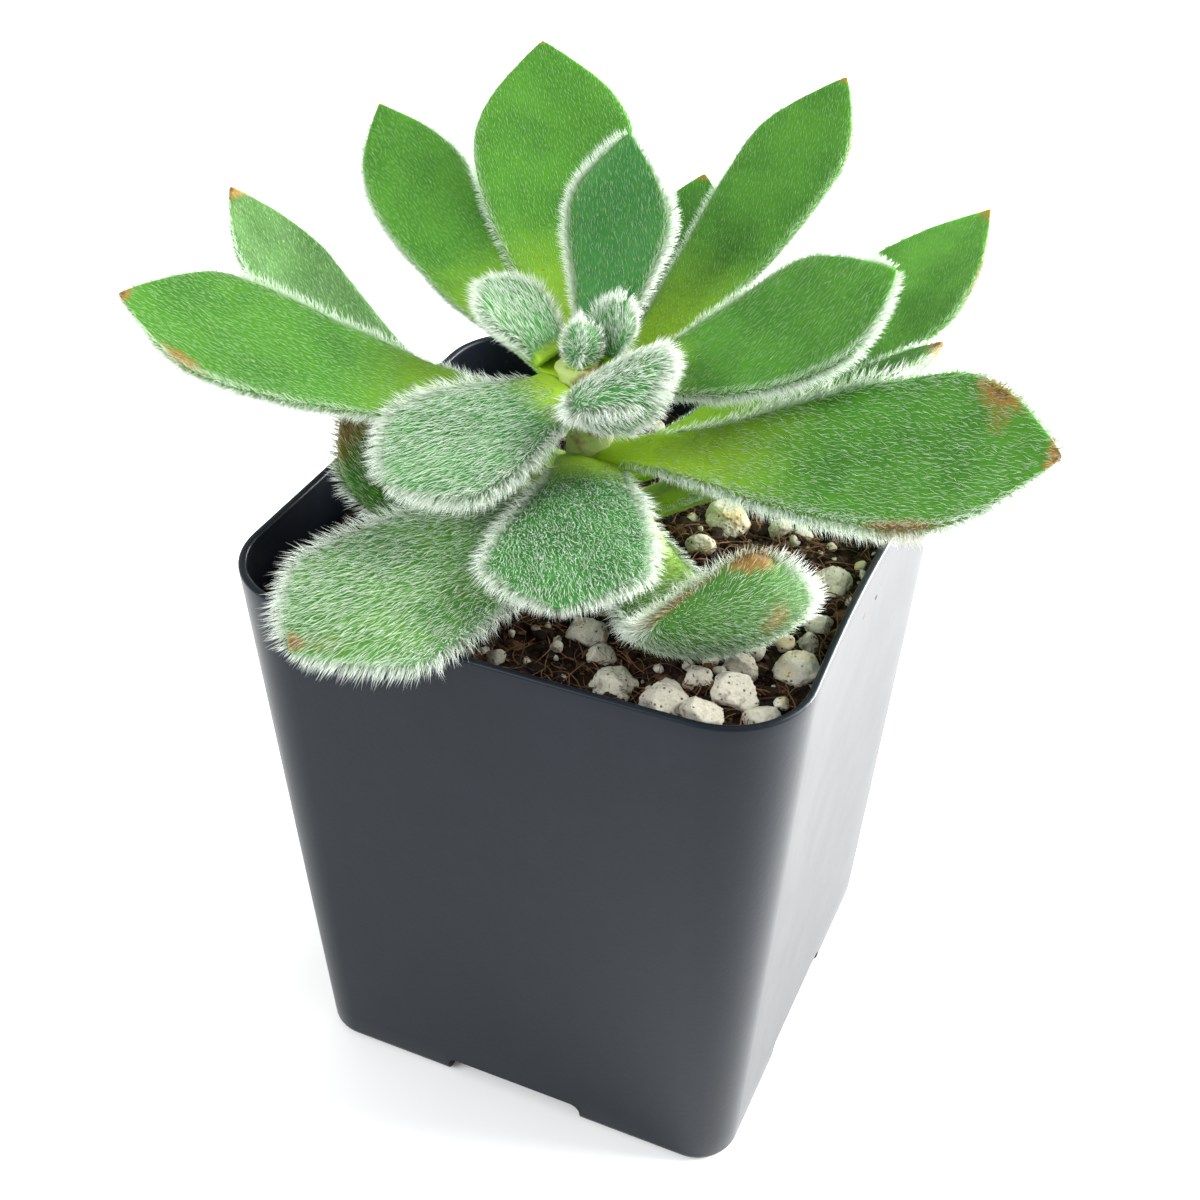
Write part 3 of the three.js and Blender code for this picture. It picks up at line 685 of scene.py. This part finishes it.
def leafPaint(name, look):
    paint = Paint("skin_" + name)
    share, brown = paint.attribute("share"), paint.attribute("brown")
    cloudy = paint.noise(skin["cloudSize"], detail=3)
    fine = paint.noise(skin["fineSize"], detail=4, roughness=0.65)
    nap = napNoise(paint)
    shaded = (cloudy.between(0.3, 0.7) * 0.7 + fine * 0.5 - 0.25).held()
    colour = paint.blend(look["blade"], look["shade"], shaded)
    colour = paint.blend(colour, look["edge"], nap.between(0.52, 0.75) * 0.7)
    colour = paint.blend(colour, look["edge"], paint.attribute("edge") * skin["edge"])
    wander = (cloudy - 0.5) * skin["limeWander"]
    lime = 1 - (share + wander).between(look["limeReach"] * 0.2, look["limeReach"] * 1.3)
    colour = paint.blend(colour, look["lime"], lime)
    patch = paint.noise(skin["speckPatch"], detail=1).between(0.5, 0.65)
    speck = paint.noise(skin["speckSize"], detail=1).between(0.73, 0.77) * patch
    colour = paint.blend(colour, rustDeep, speck * 0.7)
    mottled = (brown * 1.2 + (fine - 0.5) * 1.6 * brown.between(0.02, 0.3)).between(0.3, 0.85)
    rust = paint.blend(rustColour, rustDeep, (brown - 0.7 + (fine - 0.5) * 1.5).between(0.0, 0.4))
    colour = paint.blend(colour, rust, mottled * 0.85)
    bump = paint.bump(fine * 0.6 + nap * 0.6 + cloudy * 0.8, skin["depth"], 0.7)
    roughness = skin["roughness"] + fine * skin["unevenness"]
    return paint.finish(baseColor=colour, roughness=roughness, normal=bump,
                        subsurfaceWeight=skin["glow"], subsurfaceRadius=skin["glowReach"],
                        subsurfaceScale=skin["glowScale"] * mm, specularIorLevel=skin["gloss"],
                        sheenWeight=skin["sheen"], sheenRoughness=skin["sheenRoughness"],
                        sheenTint=skin["sheenTint"])


def makeLeaf(name, leaf, look):
    rings, sides = leafForm["rings"], leafForm["sides"]
    if leaf["length"] < leafForm["shortLength"]:
        rings, sides = rings // 2, sides // 2
    back, crowded = leafForm["intoStem"], (1 - np.linspace(0, 1, rings)) ** leafForm["crowding"]
    shares = -back + (leafForm["tipShare"] + back) * (1 - crowded)
    turns = np.linspace(0, 2 * math.pi, sides, endpoint=False)
    share, turn = (grid.ravel() for grid in np.meshgrid(shares, turns, indexing="ij"))
    points = leafSkin(leaf, share, turn)
    points = np.concatenate([points, leafSpine(leaf, np.array([shares[0], 1.0]))])
    share = np.concatenate([share, [shares[0], 1.0]])
    turn = np.concatenate([turn, [0, math.pi / 2]])
    numbers = dict(share=share, edge=marginShare(turn, leafForm["marginWidth"]),
                   brown=rustAt(look, share, turn), along=share * leaf["length"],
                   across=leaf["width"] * bladeWidth(leaf, share) / 2 * np.cos(turn))
    uv = np.stack([turn / (2 * math.pi), np.clip(share, 0, 1) * 0.96 + 0.02], -1)
    makePiece(name + "_blade", points, closedTube(rings, sides), leafPaint(name, look), slotOf(look), [name],
              numbers=numbers, uv=uv)


def slotOf(look):                    # a leaf that keeps the silvery blade is a young one
    return "young_leaf" if look["blade"] == silvery["blade"] else "leaf"


# rootDepth: how far a hair starts under the skin; waist: its radius halfway, as a share
# follow and hang: how its outer half turns to the leaf's tip and sinks; shortBy: hairs below this are shorter
# lowest and highest: between which shares of the length hairs grow; thinBy: below this they are sparser
hair = dict(cells=90, around=120, firstShare=0.03, spread=0.965, lowest=0.02, highest=0.997, thinBy=0.2,
            baseThickness=0.3, marginWidth=0.28, marginStand=1.1, marginLean=0.3, marginRadius=1.2,
            tuftSize=2.2, tuftLean=0.25, rootDepth=0.08, waist=0.75, follow=0.25, hang=0.12,
            lengths=(0.65, 1.2), radii=(0.8, 1.2), baseLength=0.55, shortBy=0.35, tipLength=0.7,
            tipFade=0.06, mapReach=0.46, fringeWhite=0.35, baseWhite=0.7, whiteBy=0.3,
            green=(0.08, 0.29, 0.03), freshGreen=(0.2, 0.46, 0.1), pale=(0.72, 0.84, 0.7),
            white=(0.95, 0.97, 0.94), brown=(0.2, 0.08, 0.015), tan=(0.5, 0.28, 0.1), roughness=0.55,
            gloss=0.3)


def furPaint():
    paint = Paint("leafFur")
    rise, tone, brown, white = (paint.attribute(word) for word in ("rise", "tone", "brown", "white"))
    green = paint.blend(hair["green"], hair["freshGreen"], tone)
    pale = paint.blend(hair["pale"], hair["white"], tone)
    colour = paint.blend(green, pale, (white * (0.5 + rise * 0.75)).held())
    rust = paint.blend(hair["brown"], hair["tan"], tone)
    colour = paint.blend(colour, rust, (brown * 1.1 - rise * 0.4).held() * 0.75)
    return paint.finish(baseColor=colour, roughness=hair["roughness"], specularIorLevel=hair["gloss"])


def marginShare(turn, width):        # 1 on the two margins, fading to 0 on the faces
    return np.exp(-(np.sin(turn) / width) ** 2)


def plantHairs(leaf, fur, rng):      # where hairs grow: shares of the length and angles round the leaf
    cells, around = hair["cells"], hair["around"]
    shares = (np.arange(cells) + 0.5) / cells
    turns = (np.arange(around) + 0.5) / around * 2 * math.pi
    share, turn = (grid.ravel() for grid in np.meshgrid(shares, turns, indexing="ij"))
    share = share * hair["spread"] + hair["firstShare"]
    stepShare, stepTurn = hair["spread"] / cells, 2 * math.pi / around
    wide = leafSkin(leaf, share, turn + stepTurn / 2) - leafSkin(leaf, share, turn - stepTurn / 2)
    after = leafSkin(leaf, np.minimum(share + stepShare / 2, 0.999), turn)
    tall = after - leafSkin(leaf, share - stepShare / 2, turn)
    area = np.linalg.norm(np.cross(wide, tall), axis=1)
    thicker = 1 + (fur["thick"] - 1) * marginShare(turn, hair["marginWidth"])
    sparse = smoothStep((share - hair["lowest"]) / hair["thinBy"] + hair["baseThickness"])
    wanted = area * fur["density"] * thicker * sparse
    whole = np.floor(wanted + rng.random(len(wanted))).astype(int)
    cell = np.repeat(np.arange(len(wanted)), whole)
    count = len(cell)
    share = share[cell] + rng.uniform(-0.5, 0.5, count) * stepShare
    turn = turn[cell] + rng.uniform(-0.5, 0.5, count) * stepTurn
    return np.clip(share, hair["lowest"], hair["highest"]), turn


def hairMesh(root, heading, droop, length, radius, spin):        # three-sided spikes with a bend halfway
    count = len(root)
    side = unit(np.cross(heading, np.array([0.3, 0.5, 0.81])))
    other = np.cross(heading, side)
    middle = root + heading * (length * 0.5)[:, None]
    points = np.empty((count, 7, 3))
    uv = np.empty((count, 7, 2))
    grid = math.ceil(math.sqrt(count))
    order = np.arange(count)
    cellAt = np.stack([order % grid + 0.5, order // grid + 0.5], -1) / grid      # a map cell for each hair
    for j in range(3):
        third = j * 2 * math.pi / 3
        angle = spin + third
        out = side * np.cos(angle)[:, None] + other * np.sin(angle)[:, None]
        points[:, j] = root - heading * hair["rootDepth"] + out * radius[:, None]
        points[:, 3 + j] = middle + out * (radius * hair["waist"])[:, None]
        flat = np.array([math.cos(third), math.sin(third)]) * hair["mapReach"] / grid
        uv[:, j] = cellAt + flat
        uv[:, 3 + j] = cellAt + flat / 2
    points[:, 6] = middle + droop * (length * 0.5)[:, None]
    uv[:, 6] = cellAt
    base = (order * 7)[:, None]
    quads = np.concatenate([base + [j, (j + 1) % 3, 3 + (j + 1) % 3, 3 + j] for j in range(3)])
    tips = np.concatenate([base + [3 + j, 3 + (j + 1) % 3, 6] for j in range(3)])
    return points.reshape(-1, 3), [quads, tips, base + [2, 1, 0]], uv.reshape(-1, 2)


def makeFur(name, leaf, look, material):
    fur = look["fur"]
    rng = np.random.default_rng(int(leaf["azimuth"] * 31 + leaf["length"] * 17))
    share, turn = plantHairs(leaf, fur, rng)
    count = len(share)
    root, normal = leafSkin(leaf, share, turn), leafNormal(leaf, share, turn)
    along, across, _ = leafFrame(leaf, share)
    fringe = marginShare(turn, hair["marginWidth"])
    lean = mix(fur["lean"], hair["marginLean"], fringe) + waves(root, hair["tuftSize"], 9) * hair["tuftLean"]
    aside = fur["side"] * (1 - fringe)
    stand = mix(fur["stand"], hair["marginStand"], fringe)
    heading = normal * stand[:, None] + along * lean[:, None] + across * aside[:, None]
    heading = unit(heading + rng.normal(size=(count, 3)) * fur["wild"])
    stray = rng.normal(size=(count, 3)) * fur["wild"]
    droop = unit(heading + along * hair["follow"] + stray - np.array([0, 0, hair["hang"]]))
    extra = np.where(np.cos(turn) > 0, fur["fringe"][0], fur["fringe"][1])
    length = (fur["length"] + extra * fringe) * rng.uniform(*hair["lengths"], count)
    length *= mix(hair["baseLength"], 1, smoothStep(share / hair["shortBy"]))
    length *= mix(hair["tipLength"], 1, smoothStep((1 - share) / hair["tipFade"]))
    radius = fur["radius"] * rng.uniform(*hair["radii"], count) * mix(1, hair["marginRadius"], fringe)
    spin = rng.uniform(0, 2 * math.pi, count)
    points, faces, uv = hairMesh(root, heading, droop, length, radius, spin)
    white = mix(fur["white"], np.clip(hair["fringeWhite"] + extra, 0, 1), fringe)
    white *= mix(hair["baseWhite"], 1, smoothStep(share / hair["whiteBy"]))
    numbers = dict(rise=np.tile([0, 0, 0, 0.5, 0.5, 0.5, 1], count), tone=np.repeat(rng.random(count), 7),
                   white=np.repeat(white, 7), brown=np.repeat(rustAt(look, share, turn), 7))
    makePiece(name + "_fur", points, faces, material, slotOf(look), numbers=numbers, uv=uv)
    return count


def makeLeaves():
    material = furPaint()
    hairs = 0
    for name, leaf in leafShapes.items():
        makeLeaf(name, leaf, leafLooks[name])
        hairs += makeFur(name, leaf, leafLooks[name], material)
    print("stage: leaves made,", hairs, "hairs")


# gap: between soil and pot; innerHalf, innerCorner, wallRoom: how far out the things that lie on it may be
soil = dict(top=58, cornerRise=1.5, lump=0.5, bottom=3.6, gap=0.05, rough=0.55, fine=0.22, rings=120,
            cornerSteps=20, wallSteps=36, lowerRings=(1, 26.4, 50.4), innerHalf=27.2, innerCorner=7.6,
            wallRoom=1.1, edgeRoom=1.6, cornerRoom=0.4, dark=(0.006, 0.0035, 0.0022),
            brown=(0.042, 0.019, 0.008), clodSize=2.2, grainSize=0.35, grainDepth=0.25, roughness=0.95,
            gloss=0.2)


def soilHeight(x, y):
    broad = np.sin(x * 0.55 + 1.3) * np.cos(y * 0.47)
    short = np.sin(x * 0.9 - y * 0.7)
    corner = soil["cornerRise"] * smoothStep((x - y) / pot["topWidth"])
    return soil["top"] + corner + soil["lump"] * (0.6 * broad + 0.36 * short)


def crumbled(x, y):                  # the soil's rough surface over its broad one
    height = soilHeight(x, y)
    for i, spot in enumerate(zip(x, y)):
        place = Vector((*spot, 0))
        height[i] += soil["rough"] * noise.fractal(place * 0.55, 1.0, 2.0, 4)
        height[i] += soil["fine"] * (noise.cell(place * 2.2) - 0.3)
    return height


def soilPaint():
    paint = Paint("coirAndPeat")
    broad = paint.noise(soil["clodSize"], detail=5, roughness=0.7)
    fine = paint.noise(soil["grainSize"], detail=4, roughness=0.7)
    colour = paint.blend(soil["dark"], soil["brown"], (broad * 0.9 + fine * 0.6 - 0.45).held())
    grain = paint.bump(fine, soil["grainDepth"])
    return paint.finish(baseColor=colour, roughness=soil["roughness"], normal=grain,
                        specularIorLevel=soil["gloss"])


def makeSoil():
    steps = dict(cornerSteps=soil["cornerSteps"], wallSteps=soil["wallSteps"])
    inset, bottom = pot["wall"] + soil["gap"], soil["bottom"]
    edge = potRing(soil["top"], inset, **steps)
    shares = np.linspace(1, 0.004, soil["rings"])
    flat = (edge[None, :, :2] * shares[:, None, None]).reshape(-1, 2)
    heights = crumbled(flat[:, 0], flat[:, 1])
    surface = np.concatenate([flat, heights[:, None]], axis=1)
    lower = [potRing(bottom + above, inset, **steps) for above in (0, *soil["lowerRings"])]
    points = np.concatenate([*lower, surface, [(0, 0, bottom)], [(0, 0, heights[-1])]])
    faces = closedTube(soil["rings"] + len(lower), len(edge))
    makePiece("soil_bed", points, faces, soilPaint(), "soil", ["soil"])


def ballShape(level):                # a unit ball of small triangles
    net = bmesh.new()
    bmesh.ops.create_icosphere(net, subdivisions=level, radius=1)
    net.verts.ensure_lookup_table()
    points = np.array([v.co for v in net.verts])
    faces = np.array([[v.index for v in face.verts] for face in net.faces])
    net.free()
    return points, faces


# flats, nearest, furthest: how many flat breaks a lump has and how far out; softness: lower is rounder
# cornerReach: how far out its corners may be; proud: a stone's size beside the solid that it stands for
stone = dict(flats=13, nearest=0.7, furthest=1.02, softness=13, cornerReach=1.13, rough=0.075, pits=0.1,
             pitReach=0.34, pitSpread=3.4, proud=1.05, ballLevel=5, fineness=1.3, cream=(0.4, 0.37, 0.29),
             pale=(0.7, 0.68, 0.6), yellow=(0.6, 0.45, 0.2), dirt=(0.09, 0.055, 0.03), pitSize=0.5,
             pitPatch=0.7, grainSize=0.3, yellowSize=3, stainSize=1.1, depth=0.16, roughness=0.9, gloss=0.3)


def brokenReach(ball, seed, fine=1.0):       # how far a broken lump reaches in each direction
    rng = np.random.default_rng(seed)
    flats = unit(rng.normal(size=(stone["flats"], 3)))
    depth = rng.uniform(stone["nearest"], stone["furthest"], stone["flats"])
    facing = ball @ flats.T
    away = np.where(facing > 0.1, depth / np.maximum(facing, 0.1), 10)       # 10 is too far to cut
    reach = -np.log(np.exp(-away * stone["softness"]).sum(axis=1)) / stone["softness"]
    reach = np.minimum(reach, stone["cornerReach"])
    shift = Vector(rng.uniform(-50, 50, 3))
    for i, direction in enumerate(ball):
        place = Vector(direction) + shift
        near = noise.voronoi(place * stone["pitSpread"] * fine)[0][0]
        pit = max(0, stone["pitReach"] - near) / stone["pitReach"]
        reach[i] += stone["rough"] * noise.fractal(place * 2.6, 0.7, 2.2, 4) - stone["pits"] * pit
    return reach


def spots(rng, count, inset):        # places spread over the soil
    half = pot["topWidth"] / 2 - inset
    x, y = rng.uniform(-half, half, (2, count * 2))
    corner = pot["topCorner"] - inset
    reach = np.maximum(np.abs(np.stack([x, y])) - (half - corner), 0)
    inside = np.hypot(*reach) < corner - soil["cornerRoom"]
    return x[inside][:count], y[inside][:count]


def drawIn(x, y, margin):            # keeps what lies on the soil clear of the pot's walls
    half, corner = soil["innerHalf"] - margin, np.maximum(soil["innerCorner"] - margin, 0.5)
    core = half - corner
    x = np.clip(x, -half, half - soil["wallRoom"])
    nearX, nearY = np.clip(x, -core, core), np.clip(y, -core, core)
    away = np.hypot(x - nearX, y - nearY)
    pull = np.minimum(1, corner / np.maximum(away, 1e-6))
    return nearX + (x - nearX) * pull, nearY + (y - nearY) * pull


# level: how finely a lump's ball is divided; sunk: how deep it lies, as a share; flat: its height as a share
scatter = dict(shapes=9, stretch=(0.6, 1.25), margin=0.66)
scattered = dict(
    peat_crumbs=dict(count=2200, sizes=(0.4, 1.9), level=2, seed=11, sunk=0.3, flat=0.55),
    peat_dots=dict(count=4200, sizes=(0.25, 0.7), level=1, seed=12, sunk=0.3, flat=0.7),
    perlite_grit=dict(count=330, sizes=(0.35, 1.8), level=3, seed=13, sunk=0.15, flat=0.9),
)


def scatterLumps(name, material, slotName):
    lot = scattered[name]
    rng = np.random.default_rng(lot["seed"])
    ball, faces = ballShape(lot["level"])
    reaches = [brokenReach(ball, lot["seed"] * 10 + i) for i in range(scatter["shapes"])]
    shapes = np.stack([ball * reach[:, None] for reach in reaches])
    x, y = spots(rng, lot["count"], soil["edgeRoom"])
    count = len(x)
    small, large = lot["sizes"]
    width = rng.uniform(small ** 0.5, large ** 0.5, count) ** 2      # more small ones than large ones
    x, y = drawIn(x, y, width * scatter["margin"])
    turn = np.linalg.qr(rng.normal(size=(count, 3, 3)))[0]
    turn *= np.sign(np.linalg.det(turn))[:, None, None]
    stretch = rng.uniform(*scatter["stretch"], (count, 1, 3))
    lumps = shapes[rng.integers(0, len(shapes), count)] * stretch
    lumps = np.einsum("nij,nkj->nki", turn, lumps) * (width / 2)[:, None, None]
    lumps[:, :, 2] *= lot["flat"]
    ground = crumbled(x, y)
    middle = ground + width * (0.5 - lot["sunk"]) * lot["flat"]
    lumps += np.stack([x, y, middle], -1)[:, None, :]
    index = faces[None] + (np.arange(count) * len(ball))[:, None, None]
    tone = np.repeat(rng.random(count), len(ball))
    makePiece(name, lumps.reshape(-1, 3), [index.reshape(-1, 3)], material, slotName,
              smooth=lot["level"] > 2, numbers=dict(tone=tone))


peat = dict(stops=[(0.0, (0.004, 0.0025, 0.0018)), (0.5, (0.012, 0.0065, 0.004)),
                   (0.82, (0.04, 0.018, 0.008)), (1.0, (0.15, 0.075, 0.032))],
            grainSize=0.25, grainDepth=0.1, roughness=0.9, gloss=0.25)


def crumbPaint():
    paint = Paint("peatCrumbs")
    fine = paint.noise(peat["grainSize"], detail=3, roughness=0.7)
    darkness = paint.attribute("tone") * 0.8 + fine * 0.3
    colour = paint.node("ShaderNodeValToRGB", {"stops": peat["stops"]}, {"Fac": darkness})
    grain = paint.bump(fine, peat["grainDepth"])
    return paint.finish(baseColor=colour, roughness=peat["roughness"], normal=grain,
                        specularIorLevel=peat["gloss"])


fibre = dict(count=2200, knots=7, sides=4, length=(1.2, 5.5), radius=(0.035, 0.1), curl=1.3,
             lift=(-0.1, 0.5), arch=(0, 0.5), rest=0.35, thinning=0.75, edgeRoom=2.2, wallRoom=0.6,
             dark=(0.03, 0.012, 0.005), tan=(0.26, 0.115, 0.04), grainSize=0.4, roughness=0.75)


def makeFibres():                    # coir: thin bent strands that lie on the soil
    rng = np.random.default_rng(41)
    x, y = spots(rng, fibre["count"], fibre["edgeRoom"])
    count, knots, sides = len(x), fibre["knots"], fibre["sides"]
    length = rng.uniform(*fibre["length"], count)
    radius = rng.uniform(*fibre["radius"], count)
    heading = rng.uniform(0, 2 * math.pi, count)
    curl = rng.normal(0, fibre["curl"], count)
    lift = rng.uniform(*fibre["lift"], count)
    arch = rng.uniform(*fibre["arch"], count)
    points = np.empty((count, knots, sides, 3))
    travel = np.stack([x, y], -1)
    half = pot["topWidth"] / 2 - pot["wall"] - fibre["wallRoom"]
    for k in range(knots):
        share = k / (knots - 1)
        way = heading + curl * share
        ground = soilHeight(travel[:, 0], travel[:, 1])
        height = ground + fibre["rest"] + lift * share + arch * math.sin(share * math.pi)
        centre = np.concatenate([travel, height[:, None]], axis=1)
        thin = radius * (1 - fibre["thinning"] * share)
        across = np.stack([-np.sin(way), np.cos(way), np.zeros(count)], -1)
        for j in range(sides):
            angle = 2 * math.pi * j / sides
            sideways = across * (thin * math.cos(angle))[:, None]
            upward = np.array([0, 0, 1]) * (thin * math.sin(angle))[:, None]
            points[:, k, j] = centre + sideways + upward
        step = np.stack([np.cos(way), np.sin(way)], -1) * (length / knots)[:, None]
        travel = np.clip(travel + step, -half, half)
    base = (np.arange(count) * knots * sides)[:, None, None]
    tube = (tubeFaces(knots, sides)[None] + base).reshape(-1, 4)
    last = (knots - 1) * sides
    caps = np.array([np.arange(sides)[::-1], np.arange(sides) + last])
    ends = (caps[None] + base).reshape(-1, sides)
    tone = np.repeat(rng.random(count), knots * sides)
    makePiece("coir_fibres", points.reshape(-1, 3), [tube, ends], fibrePaint(), "soil",
              numbers=dict(tone=tone))


def fibrePaint():
    paint = Paint("coirFibre")
    fine = paint.noise(fibre["grainSize"], detail=2)
    lightness = (paint.attribute("tone") * 0.9 + fine * 0.3 - 0.15).held()
    colour = paint.blend(fibre["dark"], fibre["tan"], lightness)
    return paint.finish(baseColor=colour, roughness=fibre["roughness"])


def perlitePaint():
    paint = Paint("perliteStone")
    tone = paint.attribute("tone")
    sockets = {"Vector": paint.place(), "Scale": 1 / (stone["pitSize"] * mm), "Randomness": 1.0}
    pits = paint.node("ShaderNodeTexVoronoi", {"feature": "F1"}, sockets)
    chosen = paint.noise(stone["pitPatch"], detail=1).between(0.48, 0.56)
    pit = (1 - pits.between(0.16, 0.32)) * chosen
    fine = paint.noise(stone["grainSize"], detail=4, roughness=0.7)
    colour = paint.blend(stone["cream"], stone["pale"], (fine * 1.3 + tone * 0.5 - 0.45).held())
    yellowed = paint.noise(stone["yellowSize"], detail=2).between(0.45, 0.7) * tone.between(0.5, 1)
    colour = paint.blend(colour, stone["yellow"], yellowed.held())
    stain = paint.noise(stone["stainSize"], detail=4).between(0.56, 0.72)
    colour = paint.blend(colour, stone["dirt"], stain * 0.55)
    # the chosen pits are darkened most of the way to the dark brown that the stains use
    colour = paint.blend(colour, stone["dirt"], pit * 0.9)
    bump = paint.bump(fine - pit * 0.8, stone["depth"], 0.9)
    return paint.finish(baseColor=colour, roughness=stone["roughness"], normal=bump,
                        specularIorLevel=stone["gloss"])


def makePerlite(material):
    names = sorted(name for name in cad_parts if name.startswith("perlite_"))
    ball, faces = ballShape(stone["ballLevel"])
    rng = np.random.default_rng(17)
    for index, name in enumerate(names):
        low, high = (np.array(corner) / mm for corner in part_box(name))
        reach = brokenReach(ball, 200 + index, stone["fineness"])
        points = (low + high) / 2 + ball * reach[:, None] * (high - low) / 2 * stone["proud"]
        tone = np.full(len(ball), rng.random())
        makePiece(name + "_stone", points, [faces], material, "perlite", [name], numbers=dict(tone=tone))
    return len(names)


makeCamera()
makeLights()
makeFloor()
print("stage: camera, light and floor")
makePot()
print("stage: pot")
makeStem()
print("stage: stem")
makeLeaves()
makeSoil()
crumbs = crumbPaint()
scatterLumps("peat_crumbs", crumbs, "soil")
scatterLumps("peat_dots", crumbs, "soil")
makeFibres()
print("stage: soil, crumbs and fibres")
pale = perlitePaint()
scatterLumps("perlite_grit", pale, "perlite")
print("stage:", makePerlite(pale), "perlite lumps and their grit")
